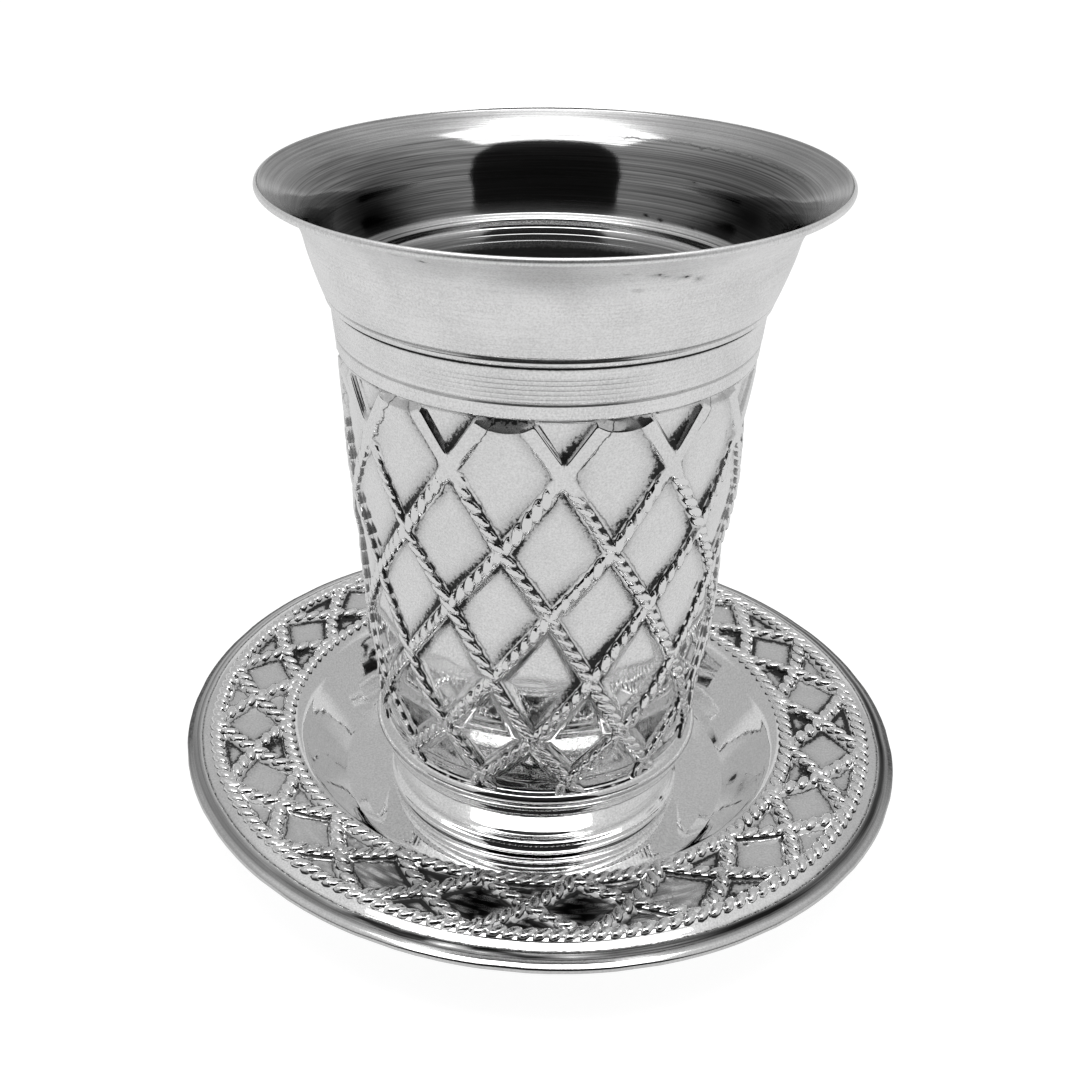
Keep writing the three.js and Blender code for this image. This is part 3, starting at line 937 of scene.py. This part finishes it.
def saucer_dish(sizes, material):
    """The raised sheet: the resting disc, the well, the brim with its lattice and the rolled edge."""
    pitch = 360 / sizes.crossings
    width = sizes.rope_width / 2
    upper_side, underside = saucer_profile(sizes.sheet)
    radius, height = np.array(upper_side + underside).T
    spread = np.clip(np.abs(radius - BRIM_MIDDLE) / BRIM_HALF_SPAN, 0, 1) * pitch / 2
    per_degree = BRIM_MIDDLE * DEGREE
    edges = [share / per_degree for share in (width * 0.6, width * 1.2, width + 1.0)]
    columns = lattice_columns(spread, pitch / 2, edges, (2,) * 7)
    azimuth = repeated(columns, sizes.crossings)
    across = per_degree * math.cos(math.atan(pitch / 2 * per_degree / BRIM_HALF_SPAN))
    radius, height, spread = np.array([radius, height, spread])[:, :, None]
    strands = Strands(azimuth, spread, 0, pitch, across)
    is_upper = (np.arange(len(radius)) < len(upper_side))[:, None]
    on_brim = is_upper & (radius >= BRIM_START) & (radius <= BRIM_END)
    panelled = (radius > INNER_ROPE[0]) & (radius < OUTER_ROPE[0])
    ring = np.minimum(np.abs(radius - INNER_ROPE[0]), np.abs(radius - OUTER_ROPE[0]))
    arms = band(strands.near, width * 0.5, width * 1.1) * panelled
    relief = np.maximum(arms, band(ring, width * 0.5, width * 1.1)) * 0.72 * BRIM_DROP * on_brim
    closest = np.minimum(strands.near, ring)
    between_arms = np.abs(columns - pitch / 2) > pitch / 2 - spread
    inner_panel = (radius < BRIM_MIDDLE) & np.tile(between_arms, sizes.crossings)
    brim_dirt_and_shade = panelled * brim_patina_and_shade(azimuth, radius, strands.near, closest, width, inner_panel)
    # Painted reflection: the front of the brim goes black between its ropes
    front = panelled * painted_front_reflection(azimuth, radius) * blend(closest, width * 0.8, width)
    lip_painted_dark, lip_dullness_and_shade = lip_painted_shade(azimuth, radius)
    pits = 1.8 * blots(azimuth, radius, WELL_PITS) * is_upper
    attributes = {
        "patina_and_shade": np.maximum(np.maximum(brim_dirt_and_shade, lip_painted_dark), pits),
        # Dullness with painted shade on the lip, and painted black reflection over the front of the brim
        "inside": lip_dullness_and_shade + 1.9 * front,
        "edge": closest - width * OUTLINE_PLACE,
        "outline": 0.7 * panelled,
    }
    grid = on_axis(azimuth, radius, height + relief)
    piece = shell("saucer_dish", grid, closed_profile=False, attributes=attributes)
    return settle(piece, material, ["saucer"])


def saucer_ropes(sizes, material):
    """The two rope rings of the brim and the strands that cross between them."""
    half_pitch = 180 / sizes.crossings
    lift = BRIM_DROP * 0.4
    up = np.array([[0.0, 0.0, 1.0]])
    paths = []
    for radius, crest in (INNER_ROPE, OUTER_ROPE):
        azimuth = np.linspace(0, 360, 240, endpoint=False)
        line = on_axis(azimuth, radius, crest - BRIM_DROP + lift)
        paths.append((line, np.repeat(up, 240, 0), np.ones(240), True))
    share = np.linspace(0.06, 0.94, 24)
    radius = INNER_ROPE[0] + share * 2 * BRIM_HALF_SPAN
    for side in (1, -1):
        for arm in range(sizes.crossings):
            azimuth = arm * 2 * half_pitch + side * half_pitch * (2 * share - 1)
            line = on_axis(azimuth, radius, brim_height(radius) + lift)
            paths.append((line, np.repeat(up, 24, 0), np.ones(24), False))
    piece = lay_rope(
        "saucer_ropes", paths, material, sizes.lay, Spacing=sizes.lobe_spacing,
        Length=sizes.rope_width * 1.32, Width=sizes.rope_width * 0.62, Height=BRIM_DROP * 1.6,
    )
    return settle(piece)


# ----- Stage -----

def camera(stage):
    """The camera stands above the front of the set, turned slightly left and rolled a little."""
    pitch, yaw, roll = stage.camera_pitch, stage.camera_yaw, stage.camera_roll
    forward = Vector((math.sin(yaw) * math.cos(pitch), math.cos(yaw) * math.cos(pitch), -math.sin(pitch)))
    level = Vector((math.cos(yaw), -math.sin(yaw), 0))
    upright = level.cross(forward)
    right = level * math.cos(roll) + upright * math.sin(roll)
    up = upright * math.cos(roll) - level * math.sin(roll)
    data = bpy.data.cameras.new("camera")
    data.lens = stage.lens
    data.shift_x, data.shift_y = stage.shift
    data.clip_start = 0.01
    made = bpy.data.objects.new("camera", data)
    turned = Matrix((right, up, -forward)).transposed().to_4x4()
    made.matrix_world = Matrix.Translation(stage.camera_place) @ turned
    bpy.context.scene.collection.objects.link(made)
    bpy.context.scene.camera = made


def card(name, corners, material, mirrored_only=True):
    """A flat card that shows in reflections only, or else to the camera only."""
    mesh = bpy.data.meshes.new(name)
    mesh.from_pydata(corners, [], [(0, 1, 2, 3)])
    mesh.materials.append(material)
    made = place(name, mesh)
    made.visible_camera = not mirrored_only
    made.visible_glossy = mirrored_only
    made.visible_shadow = False
    made.visible_diffuse = False


def room(scene, stage):
    """The room: as bright as the floor near the horizon, dimmer walls, and brighter again high up."""
    world = bpy.data.worlds.new("room")
    shader = Shader(world, "Background")
    up = shader.axes(shader.node("ShaderNodeTexCoord", {}, output="Generated"))[2]
    light = 0.66 - up.above(0.13, 0.22) * 0.2 + up.above(0.6, 0.86) * 0.24 + up.above(0.88, 0.97) * 0.3
    shader.finish(Color=grey(1.0), Strength=light * stage.room)
    scene.world = world


def glow(name, strength, base=0.0, roughness=1.0):
    """A plain light of its own, for the floor and the cards."""
    return Shader.for_material(name).finish(
        Base_Color=grey(base), Roughness=roughness, Emission_Color=grey(1.0), Emission_Strength=strength,
    )


# ----- Settings -----

def setting(name, default, description, **more):
    """A setting whose kind follows from its default."""
    if isinstance(default, tuple):
        more["size"] = len(default)
        kind = FloatVectorProperty
    else:
        kind = IntProperty if isinstance(default, int) else FloatProperty
    return kind(name=name, default=default, description=description, **more)


class KIDDUSH_PG_cup(bpy.types.PropertyGroup):
    crossings: setting("Crossings", 12, "Rope crossings round the cup")
    rope_width: setting("Rope width", 1.9, "Millimetres")
    rise: setting("Rope height", 0.75, "Millimetres over the panels")
    lobe_spacing: setting("Lobe spacing", 2.0, "Millimetres along a rope")
    lay: setting("Lay", 0.48, "Slant of the lobes", subtype="ANGLE")
    fillet: setting("Fillet", 0.2, "Rise of a panel to its ropes, millimetres")
    sheet: setting("Sheet", 0.8, "Thickness of the silver, millimetres")
    round_steps: setting("Steps", 224, "Facets round plain surfaces")


class KIDDUSH_PG_saucer(bpy.types.PropertyGroup):
    crossings: setting("Crossings", 20, "Rope crossings round the brim")
    rope_width: setting("Rope width", 2.3, "Millimetres")
    lobe_spacing: setting("Lobe spacing", 1.8, "Millimetres along a rope")
    lay: setting("Lay", 0.6, "Slant of the lobes", subtype="ANGLE")
    sheet: setting("Sheet", 0.8, "Thickness of the silver, millimetres")


class KIDDUSH_PG_colours(bpy.types.PropertyGroup):
    silver: setting("Silver", 0.92, "Brightness of clean silver")
    # The next two greys paint the shade inside the mouth, in its brushed lines
    inside_shade_low: setting("Inside low", 0.07, "Darkest dull line inside")
    inside_shade_high: setting("Inside high", 0.46, "Lightest dull line inside")
    # This dark colour serves the patina and also the black of painted shade and painted reflections
    patina_and_shade: setting("Patina", 0.015, "Brightness of the dark patina")


class KIDDUSH_PG_stage(bpy.types.PropertyGroup):
    camera_place: setting("Camera", (0.0, -0.173775, 0.133282), "Its place", subtype="TRANSLATION")
    camera_pitch: setting("Pitch", 26.045 * DEGREE, "How far it looks down", subtype="ANGLE")
    camera_yaw: setting("Yaw", -5.498 * DEGREE, "How far it turns right", subtype="ANGLE")
    camera_roll: setting("Roll", -0.711 * DEGREE, "How far it leans", subtype="ANGLE")
    lens: setting("Lens", 47.96, "Focal length, millimetres")
    shift: setting("Shift", (0.1140, -0.0610), "Lens shift")
    room: setting("Room", 1.0, "Brightness of the room")
    floor_glow: setting("Floor", 0.85, "Brightness of the floor itself")
    mirrored_floor: setting("Mirrored floor", 0.66, "Its light in the silver")
    floor_reach: setting("Floor reach", 3.0, "From its middle to its sides", unit="LENGTH")
    overhead: setting("Overhead", 3.1, "Power of the overhead light", unit="POWER")
    overhead_size: setting("Its size", (0.8, 0.44), "Width and depth", unit="LENGTH")
    overhead_place: setting("Its place", (0.0, -0.09, 1.0), "Centre", subtype="TRANSLATION")
    card_distance: setting("Dark cards", -0.35, "Their place before the set", unit="LENGTH")
    card_bottom: setting("Lower edge", 0.04, "Height of their lower edges", unit="LENGTH")
    high_card_sides: setting("High card", (-0.27, 0.33), "Left and right", unit="LENGTH")
    high_card_top: setting("Its top", 1.1, "Height of the high card", unit="LENGTH")
    low_card_sides: setting("Low card", (-1.0, 1.0), "Left and right", unit="LENGTH")
    low_card_top: setting("Its top", 0.17, "Height of the low card", unit="LENGTH")


# ----- Operators -----

class KIDDUSH_OT_stage(bpy.types.Operator):
    """Build the camera, the room's light, the pale floor, the dark cards and the overhead light"""

    bl_idname = "kiddush.stage"
    bl_label = "Stage"

    def execute(self, context):
        settings = context.scene.kiddush_stage
        context.scene.view_settings.view_transform = "Standard"
        camera(settings)
        room(context.scene, settings)
        reach = settings.floor_reach
        ground = [(-reach, -reach, 0), (reach, -reach, 0), (reach, reach, 0), (-reach, reach, 0)]
        card("floor", ground, glow("floor", settings.floor_glow, 0.3, 0.9), mirrored_only=False)
        card("mirrored_floor", ground, glow("mirrored_floor_finish", settings.mirrored_floor))
        dark = glow("dark_card_finish", 0.0)
        bottom = settings.card_bottom
        for name, (left, right), top in (
            ("front_card", settings.high_card_sides, settings.high_card_top),
            ("low_card", settings.low_card_sides, settings.low_card_top),
        ):
            corners = [(left, bottom), (right, bottom), (right, top), (left, top)]
            card(name, [(x, settings.card_distance, z) for x, z in corners], dark)
        overhead = bpy.data.lights.new("overhead", "AREA")
        overhead.shape = "RECTANGLE"
        overhead.size, overhead.size_y = settings.overhead_size
        overhead.energy = settings.overhead
        lamp = bpy.data.objects.new("overhead", overhead)
        lamp.matrix_world = Matrix.Translation(settings.overhead_place)
        context.scene.collection.objects.link(lamp)
        return {"FINISHED"}


class KIDDUSH_OT_cup(bpy.types.Operator):
    """Build the cup: its body with the lattice, the mouth, the foot and the ropes"""

    bl_idname = "kiddush.cup"
    bl_label = "Cup"

    def execute(self, context):
        sizes = context.scene.kiddush_cup
        colours = context.scene.kiddush_colours
        cup_body(sizes, silver("cup_silver", colours, upright_lines))
        cup_mouth(sizes, silver(
            "cup_brushed_silver", colours, upright_lines,
            roughness=0.06, lines_depth=0.16, grain=0.1, streaks=0.3, upper_roughness=0.12,
        ))
        cup_foot(sizes, silver(
            "cup_polished_silver", colours, upright_lines, roughness=0.04, lines_depth=0.04, grain=0.03,
        ))
        cup_ropes(sizes, rope_silver("cup_rope_silver", colours, quiet_sides))
        return {"FINISHED"}


class KIDDUSH_OT_saucer(bpy.types.Operator):
    """Build the saucer: its dish and the ropes on its brim"""

    bl_idname = "kiddush.saucer"
    bl_label = "Saucer"

    def execute(self, context):
        sizes = context.scene.kiddush_saucer
        colours = context.scene.kiddush_colours
        saucer_dish(sizes, silver("saucer_silver", colours, flat_lines, dull_roughness=0.16))
        saucer_ropes(sizes, rope_silver("saucer_rope_silver", colours, brim_front_shade))
        return {"FINISHED"}


class KIDDUSH_PT_panel(bpy.types.Panel):
    """Lists the operators that build the set"""

    bl_idname = "KIDDUSH_PT_panel"
    bl_label = "Kiddush Cup"
    bl_space_type = "VIEW_3D"
    bl_region_type = "UI"
    bl_category = "Kiddush Cup"

    def draw(self, context):
        for operator in OPERATORS:
            self.layout.operator(operator.bl_idname)


SETTINGS = {
    "kiddush_cup": KIDDUSH_PG_cup,
    "kiddush_saucer": KIDDUSH_PG_saucer,
    "kiddush_colours": KIDDUSH_PG_colours,
    "kiddush_stage": KIDDUSH_PG_stage,
}
OPERATORS = [KIDDUSH_OT_stage, KIDDUSH_OT_cup, KIDDUSH_OT_saucer]
CLASSES = [*SETTINGS.values(), *OPERATORS, KIDDUSH_PT_panel]


def register():
    for made in CLASSES:
        bpy.utils.register_class(made)
    for name, group in SETTINGS.items():
        setattr(bpy.types.Scene, name, PointerProperty(type=group))


def unregister():
    for name in SETTINGS:
        delattr(bpy.types.Scene, name)
    for made in reversed(CLASSES):
        bpy.utils.unregister_class(made)


def main():
    register()
    bpy.ops.kiddush.stage()
    bpy.ops.kiddush.cup()
    bpy.ops.kiddush.saucer()


if __name__ == "__main__":
    main()
